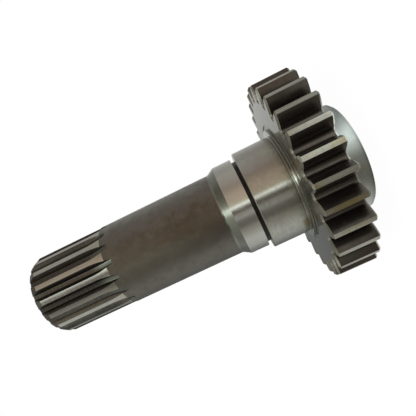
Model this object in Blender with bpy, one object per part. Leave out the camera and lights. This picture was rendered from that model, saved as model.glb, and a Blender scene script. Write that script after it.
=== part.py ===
"""Power take-off shaft with its spur gear in one piece, for a gearbox.

One piece of steel: turned all over, hobbed with a spur gear and an involute spline, and ground
on its seats. It stands on its hub end, with the splined end up, and its axis is the Z axis.
Everything here is in metres. The sizes are written in millimetres times MM.
"""

import math

import bmesh
import bpy

MM = 0.001

# Overall length, from the hub end to the splined end
OVERALL_LENGTH = 149.0 * MM

# Hub below the gear
HUB_DIAMETER = 48.0 * MM
HUB_LENGTH = 10.4 * MM
HUB_CHAMFER = 1.0 * MM
HUB_FILLET = 1.2 * MM

# Spur gear. Addendum, dedendum and root fillet are in modules
GEAR_MODULE = 3.0 * MM
GEAR_TEETH = 28
GEAR_PRESSURE_ANGLE = math.radians(20.0)
GEAR_WIDTH = 17.0 * MM
GEAR_TOOTH_THINNING = 0.2 * MM
GEAR_ADDENDUM = 1.0
GEAR_DEDENDUM = 1.25
GEAR_ROOT_FILLET = 0.38
TOOTH_EDGE_CHAMFER = 0.7 * MM

# Thrust ring on the gear's upper face, and the turned recess round its foot
THRUST_RING_WIDTH = 3.0 * MM
THRUST_RING_HEIGHT = 1.0 * MM
THRUST_RING_CHAMFER = 0.4 * MM
RECESS_WIDTH = 2.0 * MM
RECESS_DEPTH = 0.4 * MM

# Ground bearing seat above the thrust ring, with a grinding undercut at its foot
BEARING_SEAT_DIAMETER = 45.6 * MM
BEARING_SEAT_LENGTH = 17.1 * MM
SEAT_EDGE_CHAMFER = 0.3 * MM
UNDERCUT_WIDTH = 0.9 * MM
UNDERCUT_DEPTH = 0.25 * MM
UNDERCUT_FILLET = 0.3 * MM

# Groove for a retaining ring, and the ground collar above it
RING_GROOVE_WIDTH = 1.7 * MM
RING_GROOVE_DEPTH = 1.7 * MM
COLLAR_DIAMETER = 42.0 * MM
COLLAR_LENGTH = 8.5 * MM
CONE_LENGTH = 3.4 * MM
CONE_FILLET = 3.0 * MM

# Shank
SHANK_DIAMETER = 38.0 * MM

# Involute spline on the shank's upper end. Its hob leaves a groove floor that rises on the hob's arc.
# Step, depth, thickness on the pitch circle, fillet and end chamfer's depth are in modules
SPLINE_TEETH = 17
SPLINE_MODULE = SHANK_DIAMETER / (SPLINE_TEETH + 2)
SPLINE_PRESSURE_ANGLE = math.radians(30.0)
SPLINE_TIP_STEP = 0.1
SPLINE_TOOTH_DEPTH = 1.0
SPLINE_TOOTH_THICKNESS = 2.15
SPLINE_ROOT_FILLET = 0.09
SPLINE_END_CHAMFER_DEPTH = 1.05
SPLINE_END_CHAMFER_LENGTH = 2.7 * MM
SPLINE_LENGTH = 36.0 * MM
SPLINE_FULL_DEPTH_LENGTH = 28.4 * MM
SPLINE_CLOCKING = math.radians(-9.09)
HOB_RADIUS = 28.0 * MM

# Centre holes that the shaft was turned and ground between
CENTRE_MOUTH_DIAMETER = 8.0 * MM
CENTRE_PILOT_DIAMETER = 3.2 * MM
CENTRE_PILOT_LENGTH = 3.5 * MM
CENTRE_HALF_ANGLE = math.radians(30.0)
DRILL_POINT_HALF_ANGLE = math.radians(59.0)

# How far a cutter reaches past the metal that it cuts
CUTTER_OVERRUN = 0.3 * MM

# Facets of the turned surfaces, of each flank and of each arc
TURNED_FACETS = 64
GEAR_FLANK_STEPS = 3
SPLINE_FLANK_STEPS = 2
RUN_OUT_STEPS = 5
FILLET_STEPS = 3
SHARP_EDGE_ANGLE = math.radians(24.0)

# Finish of the steel
STEEL_COLOUR = (0.16, 0.14, 0.115, 1.0)
STEEL_ROUGHNESS = 0.38
STEEL_METALLIC = 0.9

# Levels on the axis, from the hub end up
GEAR_BOTTOM = HUB_LENGTH
GEAR_TOP = GEAR_BOTTOM + GEAR_WIDTH
THRUST_FACE = GEAR_TOP + THRUST_RING_HEIGHT
GROOVE_BOTTOM = THRUST_FACE + BEARING_SEAT_LENGTH
GROOVE_TOP = GROOVE_BOTTOM + RING_GROOVE_WIDTH
COLLAR_TOP = GROOVE_TOP + COLLAR_LENGTH
CONE_TOP = COLLAR_TOP + CONE_LENGTH
SPLINE_BOTTOM = OVERALL_LENGTH - SPLINE_LENGTH
FULL_DEPTH_BOTTOM = OVERALL_LENGTH - SPLINE_FULL_DEPTH_LENGTH

# Radii that follow from the sizes above
HUB_RADIUS = HUB_DIAMETER / 2
GEAR_PITCH_RADIUS = GEAR_MODULE * GEAR_TEETH / 2
GEAR_TIP_RADIUS = GEAR_PITCH_RADIUS + GEAR_ADDENDUM * GEAR_MODULE
GEAR_ROOT_RADIUS = GEAR_PITCH_RADIUS - GEAR_DEDENDUM * GEAR_MODULE
GEAR_BLANK_RADIUS = GEAR_TIP_RADIUS + GEAR_MODULE / 4
SEAT_RADIUS = BEARING_SEAT_DIAMETER / 2
UNDERCUT_RADIUS = SEAT_RADIUS - UNDERCUT_DEPTH
THRUST_RING_RADIUS = SEAT_RADIUS + THRUST_RING_WIDTH
COLLAR_RADIUS = COLLAR_DIAMETER / 2
GROOVE_FLOOR_RADIUS = COLLAR_RADIUS - RING_GROOVE_DEPTH
SHANK_RADIUS = SHANK_DIAMETER / 2
SPLINE_PITCH_RADIUS = SPLINE_MODULE * SPLINE_TEETH / 2
SPLINE_TIP_RADIUS = SHANK_RADIUS - SPLINE_TIP_STEP * SPLINE_MODULE
SPLINE_ROOT_RADIUS = SPLINE_TIP_RADIUS - SPLINE_TOOTH_DEPTH * SPLINE_MODULE
SPLINE_END_RADIUS = SPLINE_TIP_RADIUS - SPLINE_END_CHAMFER_DEPTH * SPLINE_MODULE


def involute(angle):
    """The involute function of an angle."""
    return math.tan(angle) - angle


def half_tooth_angle(radius, pitch_radius, pressure_angle, pitch_thickness):
    """Half the angle that an involute tooth spans at a radius."""
    base_radius = pitch_radius * math.cos(pressure_angle)
    angle_here = math.acos(min(1.0, base_radius / radius))
    half_at_pitch = pitch_thickness / (2 * pitch_radius)
    return half_at_pitch + involute(pressure_angle) - involute(angle_here)


def polar(radius, angle):
    """A point in the plane, from its radius and its angle."""
    return radius * math.cos(angle), radius * math.sin(angle)


def arc(centre_radius, centre_height, arc_radius, start, end):
    """Points of a fillet in the turned section, with its start and end angles in degrees."""
    points = []
    for step in range(FILLET_STEPS + 1):
        x, z = polar(arc_radius, math.radians(start + (end - start) * step / FILLET_STEPS))
        points.append((centre_radius + x, centre_height + z))
    return points


def steps_between(first, last, steps):
    """Evenly spaced values from the first to the last, both included."""
    return [first + (last - first) * step / steps for step in range(steps + 1)]


def centre_hole_profile():
    """A centre hole as (radius, depth), from its mouth to its bottom on the axis."""
    mouth = CENTRE_MOUTH_DIAMETER / 2
    pilot = CENTRE_PILOT_DIAMETER / 2
    pilot_start = (mouth - pilot) / math.tan(CENTRE_HALF_ANGLE)
    pilot_end = pilot_start + CENTRE_PILOT_LENGTH
    bottom = pilot_end + pilot / math.tan(DRILL_POINT_HALF_ANGLE)
    return [(mouth, 0.0), (pilot, pilot_start), (pilot, pilot_end), (0.0, bottom)]


def splined_end_profile():
    """The upper end as turned before hobbing, down to the shank."""
    tip_step = SHANK_RADIUS - SPLINE_TIP_RADIUS
    return [
        (SPLINE_END_RADIUS, OVERALL_LENGTH),
        (SPLINE_TIP_RADIUS, OVERALL_LENGTH - SPLINE_END_CHAMFER_LENGTH),
        (SPLINE_TIP_RADIUS, SPLINE_BOTTOM),
        (SHANK_RADIUS, SPLINE_BOTTOM - tip_step),
    ]


def cone_profile():
    """The shank's foot: a fillet into the cone, and the cone down to the collar."""
    slope = math.atan2(COLLAR_RADIUS - SHANK_RADIUS, CONE_LENGTH)
    tangent = CONE_FILLET * math.tan(slope / 2)
    fillet_top = CONE_TOP + tangent
    centre_radius = SHANK_RADIUS + CONE_FILLET
    return arc(centre_radius, fillet_top, CONE_FILLET, 180, 180 + math.degrees(slope))


def collar_profile():
    """The ground collar and the groove below it."""
    return [
        (COLLAR_RADIUS, COLLAR_TOP),
        (COLLAR_RADIUS, GROOVE_TOP),
        (GROOVE_FLOOR_RADIUS, GROOVE_TOP),
        (GROOVE_FLOOR_RADIUS, GROOVE_BOTTOM),
    ]


def bearing_seat_profile():
    """The bearing seat, its undercut, and the fillet into the thrust ring's face."""
    seat = [
        (SEAT_RADIUS - SEAT_EDGE_CHAMFER, GROOVE_BOTTOM),
        (SEAT_RADIUS, GROOVE_BOTTOM - SEAT_EDGE_CHAMFER),
        (SEAT_RADIUS, THRUST_FACE + UNDERCUT_WIDTH),
        (UNDERCUT_RADIUS, THRUST_FACE + UNDERCUT_WIDTH - UNDERCUT_DEPTH),
    ]
    fillet = arc(UNDERCUT_RADIUS + UNDERCUT_FILLET, THRUST_FACE + UNDERCUT_FILLET, UNDERCUT_FILLET, 180, 270)
    return seat + fillet


def thrust_ring_profile():
    """The thrust ring and the recess round its foot, in the gear's upper face."""
    recess_floor = GEAR_TOP - RECESS_DEPTH
    recess_radius = THRUST_RING_RADIUS + RECESS_WIDTH
    return [
        (THRUST_RING_RADIUS - THRUST_RING_CHAMFER, THRUST_FACE),
        (THRUST_RING_RADIUS, THRUST_FACE - THRUST_RING_CHAMFER),
        (THRUST_RING_RADIUS, recess_floor),
        (recess_radius - RECESS_DEPTH, recess_floor),
        (recess_radius, GEAR_TOP),
    ]


def gear_blank_profile():
    """The rim that the teeth are cut from, a little over their tips."""
    return [(GEAR_BLANK_RADIUS, GEAR_TOP), (GEAR_BLANK_RADIUS, GEAR_BOTTOM)]


def hub_profile():
    """The hub below the gear, with its fillet and its end chamfer."""
    fillet = arc(HUB_RADIUS + HUB_FILLET, GEAR_BOTTOM - HUB_FILLET, HUB_FILLET, 90, 180)
    return fillet + [(HUB_RADIUS, HUB_CHAMFER), (HUB_RADIUS - HUB_CHAMFER, 0.0)]


def turned_profile():
    """The whole turned section as (radius, height), from the upper end down its outer side."""
    upper_hole = [(radius, OVERALL_LENGTH - depth) for radius, depth in reversed(centre_hole_profile())]
    lower_hole = centre_hole_profile()
    return (
        upper_hole
        + splined_end_profile()
        + cone_profile()
        + collar_profile()
        + bearing_seat_profile()
        + thrust_ring_profile()
        + gear_blank_profile()
        + hub_profile()
        + lower_hole
    )


def gear_tooth_outline():
    """One gear tooth as (radius, angle) about its middle, anticlockwise from root to root."""
    thickness = math.pi * GEAR_MODULE / 2 - GEAR_TOOTH_THINNING
    fillet = GEAR_ROOT_FILLET * GEAR_MODULE
    base_radius = GEAR_PITCH_RADIUS * math.cos(GEAR_PRESSURE_ANGLE)
    flank_foot = max(base_radius, GEAR_ROOT_RADIUS + fillet / 2)
    flank = []
    for radius in steps_between(flank_foot, GEAR_TIP_RADIUS, GEAR_FLANK_STEPS):
        flank.append((radius, half_tooth_angle(radius, GEAR_PITCH_RADIUS, GEAR_PRESSURE_ANGLE, thickness)))
    half_pitch = math.pi / GEAR_TEETH
    foot_angle = flank[0][1]
    fillet_angle = min(fillet / GEAR_ROOT_RADIUS, 0.8 * (half_pitch - foot_angle))
    foot = [
        (GEAR_ROOT_RADIUS, foot_angle + fillet_angle),
        (GEAR_ROOT_RADIUS + 0.2 * fillet, foot_angle + 0.4 * fillet_angle),
    ]
    left_side = foot + flank
    right_side = [(radius, -angle) for radius, angle in left_side]
    return right_side + [(GEAR_TIP_RADIUS, 0.0)] + left_side[::-1]


def gear_outline():
    """The whole gear's outline, anticlockwise, as points in the plane."""
    points = []
    for tooth in range(GEAR_TEETH):
        middle = 2 * math.pi * tooth / GEAR_TEETH
        points += [polar(radius, middle + angle) for radius, angle in gear_tooth_outline()]
    return points


def moved_inwards(outline, distance):
    """A closed anticlockwise outline, with each of its sides moved inwards by a distance."""
    moved = []
    for index, (x, y) in enumerate(outline):
        x_before, y_before = outline[index - 1]
        x_after, y_after = outline[(index + 1) % len(outline)]
        length_in = math.hypot(x - x_before, y - y_before)
        length_out = math.hypot(x_after - x, y_after - y)
        normal_x = (y_before - y) / length_in + (y - y_after) / length_out
        normal_y = (x - x_before) / length_in + (x_after - x) / length_out
        scale = 2 * distance / (normal_x ** 2 + normal_y ** 2)
        moved.append((x + normal_x * scale, y + normal_y * scale))
    return moved


def bridge(mesh, layer, next_layer):
    """Quads between two closed rings of vertices."""
    for index in range(len(layer)):
        following = (index + 1) % len(layer)
        mesh.faces.new((layer[index], layer[following], next_layer[following], next_layer[index]))


def object_from(mesh, name):
    """A new object in the scene from a bmesh, with its faces turned outwards."""
    bmesh.ops.recalc_face_normals(mesh, faces=mesh.faces)
    data = bpy.data.meshes.new(name)
    mesh.to_mesh(data)
    mesh.free()
    piece = bpy.data.objects.new(name, data)
    bpy.context.scene.collection.objects.link(piece)
    return piece


def gear_cutter():
    """A ring round the gear that leaves the teeth, and flares at both ends to chamfer their edges."""
    outline = gear_outline()
    flared = moved_inwards(outline, TOOTH_EDGE_CHAMFER + CUTTER_OVERRUN)
    levels = [
        (flared, GEAR_BOTTOM - CUTTER_OVERRUN),
        (outline, GEAR_BOTTOM + TOOTH_EDGE_CHAMFER),
        (outline, GEAR_TOP - TOOTH_EDGE_CHAMFER),
        (flared, GEAR_TOP + CUTTER_OVERRUN),
    ]
    outer_radius = GEAR_BLANK_RADIUS + GEAR_MODULE
    outer_ring = [polar(outer_radius, math.atan2(y, x)) for x, y in outline]
    mesh = bmesh.new()
    layers = [[mesh.verts.new((x, y, level)) for x, y in ring] for ring, level in levels]
    layers.append([mesh.verts.new((x, y, levels[-1][1])) for x, y in outer_ring])
    layers.append([mesh.verts.new((x, y, levels[0][1])) for x, y in outer_ring])
    for layer, next_layer in zip(layers, layers[1:] + layers[:1]):
        bridge(mesh, layer, next_layer)
    return object_from(mesh, "gear_cutter")


def spline_space_section():
    """One space of the spline as (radius, angle) about its middle, from edge to edge across its root."""
    half_pitch = math.pi / SPLINE_TEETH
    thickness = SPLINE_TOOTH_THICKNESS * SPLINE_MODULE
    fillet = SPLINE_ROOT_FILLET * SPLINE_MODULE
    radii = steps_between(SPLINE_ROOT_RADIUS + fillet, SPLINE_TIP_RADIUS, SPLINE_FLANK_STEPS)
    radii.append(SHANK_RADIUS + 2 * CUTTER_OVERRUN)
    flank = []
    for radius in radii:
        half_tooth = half_tooth_angle(radius, SPLINE_PITCH_RADIUS, SPLINE_PRESSURE_ANGLE, thickness)
        flank.append((radius, half_pitch - half_tooth))
    root_angle = flank[0][1] - fillet / SPLINE_ROOT_RADIUS
    side = [(SPLINE_ROOT_RADIUS, root_angle)] + flank
    return [(radius, -angle) for radius, angle in reversed(side)] + side


def spline_space_layers():
    """Copies of the space's section: straight down to full depth's end, then round with the hob."""
    section = [polar(radius, angle) for radius, angle in spline_space_section()]
    hob_axis = SPLINE_ROOT_RADIUS + HOB_RADIUS
    exit_radius = SHANK_RADIUS + CUTTER_OVERRUN
    exit_angle = math.acos((hob_axis - exit_radius) / HOB_RADIUS)
    layers = [[(x, y, OVERALL_LENGTH + CUTTER_OVERRUN) for x, y in section]]
    for angle in steps_between(0.0, exit_angle, RUN_OUT_STEPS):
        layer = []
        for x, y in section:
            reach = hob_axis - x
            layer.append((hob_axis - reach * math.cos(angle), y, FULL_DEPTH_BOTTOM - reach * math.sin(angle)))
        layers.append(layer)
    return layers


def spline_cutter():
    """All the spaces of the spline, one after another round the axis."""
    pitch = 2 * math.pi / SPLINE_TEETH
    mesh = bmesh.new()
    for space in range(SPLINE_TEETH):
        turn = SPLINE_CLOCKING + (space + 0.5) * pitch
        cos_turn = math.cos(turn)
        sin_turn = math.sin(turn)
        layers = []
        for layer in spline_space_layers():
            turned = [(x * cos_turn - y * sin_turn, x * sin_turn + y * cos_turn, z) for x, y, z in layer]
            layers.append([mesh.verts.new(point) for point in turned])
        for layer, next_layer in zip(layers, layers[1:]):
            bridge(mesh, layer, next_layer)
        mesh.faces.new(layers[0])
        mesh.faces.new(layers[-1])
    return object_from(mesh, "spline_cutter")


def turned_blank(name):
    """The shaft before hobbing: its section, swept round the axis."""
    mesh = bmesh.new()
    points = [mesh.verts.new((radius, 0.0, height)) for radius, height in turned_profile()]
    for first, second in zip(points, points[1:]):
        mesh.edges.new((first, second))
    data = bpy.data.meshes.new(name)
    mesh.to_mesh(data)
    mesh.free()
    blank = bpy.data.objects.new(name, data)
    bpy.context.scene.collection.objects.link(blank)
    sweep = blank.modifiers.new("Turning", "SCREW")
    sweep.axis = "Z"
    sweep.angle = 2 * math.pi
    sweep.steps = TURNED_FACETS
    sweep.render_steps = TURNED_FACETS
    sweep.use_merge_vertices = True
    sweep.merge_threshold = 0.00001
    return blank


def cut(piece, cutter, name):
    """Take a cutter's shape out of a piece, and keep the cutter as a guide."""
    hobbing = piece.modifiers.new(name, "BOOLEAN")
    hobbing.operation = "DIFFERENCE"
    hobbing.solver = "EXACT"
    hobbing.object = cutter
    cutter.hide_render = True
    cutter.display_type = "WIRE"


def apply_modifiers(piece):
    """Replace a piece's mesh by what its modifiers make of it, smooth between its real edges."""
    evaluated = piece.evaluated_get(bpy.context.evaluated_depsgraph_get())
    data = bpy.data.meshes.new_from_object(evaluated)
    piece.modifiers.clear()
    piece.data = data
    data.shade_smooth()
    data.set_sharp_from_angle(angle=SHARP_EDGE_ANGLE)


def steel():
    """Dark oiled steel, as turned."""
    material = bpy.data.materials.new("dark_steel")
    material.use_nodes = True
    shader = material.node_tree.nodes["Principled BSDF"]
    shader.inputs["Base Color"].default_value = STEEL_COLOUR
    shader.inputs["Roughness"].default_value = STEEL_ROUGHNESS
    shader.inputs["Metallic"].default_value = STEEL_METALLIC
    return material


def build():
    """Make the shaft in an empty scene."""
    for old in list(bpy.data.objects):
        bpy.data.objects.remove(old, do_unlink=True)
    shaft = turned_blank("gear_shaft")
    cut(shaft, gear_cutter(), "Gear hobbing")
    cut(shaft, spline_cutter(), "Spline hobbing")
    apply_modifiers(shaft)
    shaft.data.materials.clear()
    shaft.data.materials.append(steel())


build()
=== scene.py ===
"""Looks of the power take-off shaft: fine surfaces, finishes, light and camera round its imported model.

The shaft stands on its hub end, with its axis on Z and the splined end up. Everything is in
metres. The visible shaft is modelled again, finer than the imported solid, and stands for it.
"""

import math

import bmesh
import bpy
from mathutils import Euler, Matrix, Vector


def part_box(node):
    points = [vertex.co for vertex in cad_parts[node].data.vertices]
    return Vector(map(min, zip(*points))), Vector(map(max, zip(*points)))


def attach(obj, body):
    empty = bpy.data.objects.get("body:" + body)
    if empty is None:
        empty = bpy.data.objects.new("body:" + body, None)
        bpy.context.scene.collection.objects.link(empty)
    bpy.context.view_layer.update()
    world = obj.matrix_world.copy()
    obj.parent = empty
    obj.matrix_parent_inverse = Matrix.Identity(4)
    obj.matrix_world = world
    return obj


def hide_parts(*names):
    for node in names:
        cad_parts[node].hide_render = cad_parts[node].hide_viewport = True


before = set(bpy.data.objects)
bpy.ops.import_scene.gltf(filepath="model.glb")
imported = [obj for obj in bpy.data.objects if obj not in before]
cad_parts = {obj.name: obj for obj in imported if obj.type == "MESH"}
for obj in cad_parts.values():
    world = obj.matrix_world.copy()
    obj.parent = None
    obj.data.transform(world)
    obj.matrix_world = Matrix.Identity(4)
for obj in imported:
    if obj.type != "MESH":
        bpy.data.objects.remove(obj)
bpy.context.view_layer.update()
node_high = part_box("gear_shaft")[1]

MM = 0.001

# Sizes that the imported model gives
OVERALL_LENGTH = node_high.z
GEAR_TIP_RADIUS = node_high.x

# Hub
HUB_RADIUS = 24.0 * MM
HUB_CHAMFER = 1.0 * MM
HUB_FILLET = 1.2 * MM

# Gear
GEAR_MODULE = 3.0 * MM
GEAR_TEETH = 28
GEAR_PRESSURE_ANGLE = math.radians(20.0)
GEAR_TOOTH_THINNING = 0.2 * MM
GEAR_PITCH_RADIUS = GEAR_MODULE * GEAR_TEETH / 2
GEAR_ROOT_RADIUS = GEAR_PITCH_RADIUS - 1.25 * GEAR_MODULE
GEAR_ROOT_FILLET = 1.55 * MM
GEAR_BOTTOM = 10.4 * MM
GEAR_TOP = 27.4 * MM
TOOTH_EDGE_CHAMFER = 0.7 * MM
WEB_RADIUS = 36.0 * MM

# Bearing seat, thrust ring and recess
SEAT_RADIUS = 22.8 * MM
SEAT_EDGE_CHAMFER = 0.3 * MM
THRUST_FACE = GEAR_TOP + 1.0 * MM
THRUST_RING_RADIUS = SEAT_RADIUS + 3.0 * MM
THRUST_RING_CHAMFER = 0.4 * MM
RECESS_RADIUS = THRUST_RING_RADIUS + 2.0 * MM
RECESS_DEPTH = 0.4 * MM
UNDERCUT_TOP = THRUST_FACE + 0.9 * MM
UNDERCUT_DEPTH = 0.25 * MM
UNDERCUT_FILLET = 0.3 * MM
GROOVE_BOTTOM = THRUST_FACE + 17.1 * MM

# Ring groove, collar, cone and shank
GROOVE_TOP = GROOVE_BOTTOM + 1.7 * MM
GROOVE_FLOOR_RADIUS = 19.3 * MM
COLLAR_RADIUS = 21.0 * MM
COLLAR_TOP = GROOVE_TOP + 8.5 * MM
CONE_TOP = COLLAR_TOP + 3.4 * MM
CONE_FILLET = 3.0 * MM
SHANK_RADIUS = 19.0 * MM

# Spline
SPLINE_TEETH = 17
SPLINE_PITCH_RADIUS = 17.0 * MM
SPLINE_PRESSURE_ANGLE = math.radians(30.0)
SPLINE_TOOTH_THICKNESS = 4.3 * MM
SPLINE_TIP_RADIUS = 18.8 * MM
SPLINE_ROOT_RADIUS = 16.8 * MM
SPLINE_ROOT_FILLET = 0.18 * MM
SPLINE_BOTTOM = OVERALL_LENGTH - 36.0 * MM
SPLINE_FULL_DEPTH = OVERALL_LENGTH - 28.4 * MM
SPLINE_CHAMFER_LENGTH = 3.0 * MM
SPLINE_CHAMFER_DEPTH = 1.6 * MM
SPLINE_CLOCKING = math.radians(-9.09)
HOB_RADIUS = 28.0 * MM
HOB_DROP = HOB_RADIUS + SPLINE_ROOT_RADIUS - SHANK_RADIUS
RUN_OUT_END = SPLINE_FULL_DEPTH - math.sqrt(HOB_RADIUS ** 2 - HOB_DROP ** 2)

# Centre holes
CENTRE_MOUTH = 4.0 * MM
CENTRE_PILOT = 1.6 * MM
CENTRE_CONE_DEPTH = 4.16 * MM
CENTRE_PILOT_DEPTH = 7.66 * MM
CENTRE_BOTTOM_DEPTH = 8.6 * MM

# Fineness of the visible surface
TURNED_STEPS = 224
FLANK_STEPS = 10
FILLET_STEPS = 6
RUN_OUT_STEPS = 14
CUTTER_OVERRUN = 0.3 * MM
WELD_DISTANCE = 0.001 * MM
EDGE_ROUNDING = 0.08 * MM
ROUNDING_SEGMENTS = 2
ROUNDING_ANGLE = math.radians(21.0)
OPEN_EDGE_REACH = 10 * WELD_DISTANCE

# Plain rings of the shank, this far below the spline's run-outs, which keep its shading even
SHANK_RINGS = (0.3 * MM, 0.6 * MM)

# Where the finishes change on the turned surfaces
GROUND_BAND_BOTTOM = THRUST_FACE + 3.1 * MM
GROUND_PAST_CONE = 0.6 * MM
TIP_LAND_DEPTH = 0.3 * MM
SURFACE_MARGIN = 0.06 * MM

# How far a face must point up or outwards, out of 1, to be taken for one surface or another
FLAT_END = 0.97
TOOTH_TOP = 0.97
TOOTH_CHAMFER = 0.3
SPLINE_END = 0.45
SHANK_SKIN = 0.95
GROOVE_FLOOR = 0.9

# The order of the finishes on the shaft
FINISHES = [
    "dark_shank",
    "ground_cone",
    "ground_seat",
    "oily_groove",
    "turned_gear_face",
    "dark_tooth_flank",
    "bright_tooth_tip",
    "bare_tooth_chamfer",
    "satin_hub",
    "spline_crest",
    "dark_spline_flank",
    "spline_root_floor",
    "splined_end_face",
]

# How metallic every finish is, the bare steel in its scratches, and plain white and black
STEEL_METALLIC = 0.92
BARE_STEEL = (0.62, 0.60, 0.54, 1)
WHITE = (1, 1, 1, 1)
BLACK = (0, 0, 0, 1)

# Tool lines: how rough they are, from where to where they show, and how much colour they take
LINE_ROUGHNESS = 0.65
LINE_RANGE = (0.3, 0.7)
LINE_SHARE = 0.5

# Mottling: the shares of large and small patches, how much finer the small ones are, and the specks
LARGE_PATCHES = 0.7
SMALL_PATCHES = 0.3
SMALL_FINENESS = 9.0
SPECK_RANGE = (0.42, 0.66)

# Scratches: the stretch of those round the shaft and those along it, and the patches that have them
SCRATCH_STRETCHES = ((1.0, 1.0, 0.12), (0.25, 0.25, 1.6))
SCRATCHED_FINENESS = 110.0
SCRATCHED_RANGE = (0.52, 0.68)

# Streaks: from where to where they show
STREAK_RANGE = (0.4, 0.62)

# Stains: how fine their broken edge is, and from where to where it fades, in shares of the reach
STAIN_EDGE_FINENESS = 260.0
STAIN_EDGE_RANGE = (0.7, 1.5)

# A Mix node's two colour sockets, and its colour result
MIX_COLOURS = (6, 7)
MIX_RESULT = 2

# The finishes that no stain or band changes: colours are the clean, the clouded and the tool line's
PLAIN_FINISHES = {
    "ground_cone": {
        "colours": [(0.24, 0.245, 0.218, 1), (0.205, 0.205, 0.178, 1), (0.27, 0.275, 0.243, 1)],
        "roughness": (0.11, 0.16), "fineness": 2600.0, "size": 50.0,
    },
    "oily_groove": {
        "colours": [(0.035, 0.031, 0.026, 1), (0.02, 0.018, 0.015, 1), (0.05, 0.045, 0.04, 1)],
        "roughness": (0.35, 0.5),
    },
    "satin_hub": {
        "colours": [(0.43, 0.455, 0.445, 1), (0.36, 0.38, 0.37, 1), (0.49, 0.515, 0.505, 1)],
        "roughness": (0.20, 0.28), "fineness": 2400.0, "depth": 0.001 * MM, "size": 40.0, "marks": 0.1,
    },
    "splined_end_face": {
        "colours": [(0.11, 0.10, 0.085, 1), (0.06, 0.055, 0.045, 1), (0.15, 0.14, 0.12, 1)],
        "roughness": (0.32, 0.45), "across": 1.0, "fineness": 1800.0, "depth": 0.001 * MM, "marks": 0.1,
    },
}

# A rusty-looking oil stain at the foot of the bearing seat
STAIN_CENTRE = (11.8 * MM, -19.5 * MM, THRUST_FACE + 0.6 * MM)

# A duller place on the bearing seat
DULL_PLACE = (21.0 * MM, 8.9 * MM, 35.0 * MM)

# Where a highlight is painted on the thrust ring's face, in line with the strip light
THRUST_RING_HIGHLIGHT_PLACE = (24.6 * MM, -1.9 * MM, THRUST_FACE)

# Where a highlight is painted on the recess's bare edge
RECESS_EDGE_HIGHLIGHT_PLACE = (10.3 * MM, 25.6 * MM, GEAR_TOP)

# Where the painted shade in the seat's undercut is left out, on the side toward the camera
UNSHADED_UNDERCUT_PLACE = (19.3 * MM, -12.1 * MM, THRUST_FACE)

# The gear teeth with oil on their lower chamfers, and those with browner flanks
OILY_CHAMFERS = (33.9 * MM, 26.5 * MM, GEAR_BOTTOM)
BROWN_TEETH = (27.6 * MM, 32.9 * MM, 19.0 * MM)

# Where light is painted into the spline's grooves, on their lower side
GROOVE_LIGHT_PLACE = (10.6 * MM, -13.9 * MM, 132.0 * MM)

# Brown stains and paler strips of painted light on the shank: the middle of each, its reach, flatness
# and colour
SHANK_STAINS_AND_PAINTED_LIGHT = [
    # Brown stains on the side toward the camera, which also paint shade over the strip light's highlight
    ((18.9 * MM, -1.9 * MM, 98.0 * MM), 11.0 * MM, 0.25, (0.100, 0.078, 0.055, 1)),
    ((18.9 * MM, -2.0 * MM, 68.0 * MM), 12.5 * MM, 0.4, (0.088, 0.067, 0.047, 1)),
    # Paler strips of painted light: on the lower side, then along the upper edge
    ((17.6 * MM, -7.1 * MM, 96.0 * MM), 6.0 * MM, 0.15, (0.205, 0.180, 0.145, 1)),
    ((7.1 * MM, 17.6 * MM, 88.0 * MM), 12.0 * MM, 0.2, (0.30, 0.29, 0.265, 1)),
]

# Yellowed oil on the gear's tooth tips: the middle of each spot, its reach and its strength
TIP_STAINS = [
    ((39.6 * MM, -21.4 * MM, 18.0 * MM), 12.0 * MM, 0.85),
    ((43.6 * MM, -11.1 * MM, 26.5 * MM), 4.0 * MM, 0.6),
    ((45.0 * MM, 0.2 * MM, 12.0 * MM), 7.0 * MM, 0.4),
]

# Camera, fitted to the photograph's viewing angle
CAMERA_DISTANCE = 176.17 * MM
CAMERA_AZIMUTH = -0.1186
CAMERA_HEIGHT = 51.37 * MM
CAMERA_AIM_SIDEWAYS = -2.40 * MM
CAMERA_AIM_HEIGHT = 68.71 * MM
CAMERA_ROLL = math.radians(-115.455)
CAMERA_FOCAL_PIXELS = 388.33
CAMERA_CENTRE_PIXELS = (208.66, 227.67)
FRAME_PIXELS = 416
SENSOR_WIDTH = 36.0

# The walls that shiny steel mirrors: degrees round from the camera, and red, green and blue
WALL_COLOURS = [
    (-180, 0.27, 0.28, 0.265),
    (-152, 0.175, 0.185, 0.18),
    (-131, 0.32, 0.335, 0.33),
    (-112, 0.58, 0.61, 0.60),
    (-88, 0.68, 0.71, 0.69),
    (-75, 0.54, 0.57, 0.54),
    (-62, 0.41, 0.41, 0.37),
    (-53, 0.31, 0.30, 0.265),
    (-45, 0.17, 0.16, 0.135),
    (-37, 0.16, 0.155, 0.135),
    (-31, 0.20, 0.20, 0.185),
    (-24, 0.42, 0.43, 0.41),
    (-16, 0.40, 0.40, 0.37),
    (-9.5, 0.16, 0.14, 0.115),
    (-6, 0.16, 0.14, 0.115),
    (-2.5, 0.38, 0.38, 0.36),
    (1, 1.05, 1.10, 1.05),
    (3.5, 1.55, 1.66, 1.60),
    (6.5, 1.20, 1.25, 1.15),
    (10, 0.70, 0.66, 0.55),
    (16, 0.70, 0.58, 0.44),
    (22, 0.65, 0.54, 0.43),
    (36, 0.57, 0.47, 0.38),
    (45, 0.46, 0.37, 0.30),
    (55, 0.39, 0.32, 0.28),
    (66, 0.43, 0.39, 0.36),
    (92, 0.49, 0.475, 0.45),
    (113, 0.42, 0.42, 0.41),
    (127, 0.48, 0.48, 0.47),
    (145, 0.52, 0.53, 0.51),
    (167, 0.74, 0.75, 0.73),
    (180, 0.44, 0.44, 0.41),
]

# What shiny steel mirrors far out on the floor: the walls, with a dark corner at the back
FAR_FLOOR_COLOURS = [(-180, 0.13, 0.14, 0.135), (-152, 0.15, 0.155, 0.15)] + WALL_COLOURS[2:]

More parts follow.
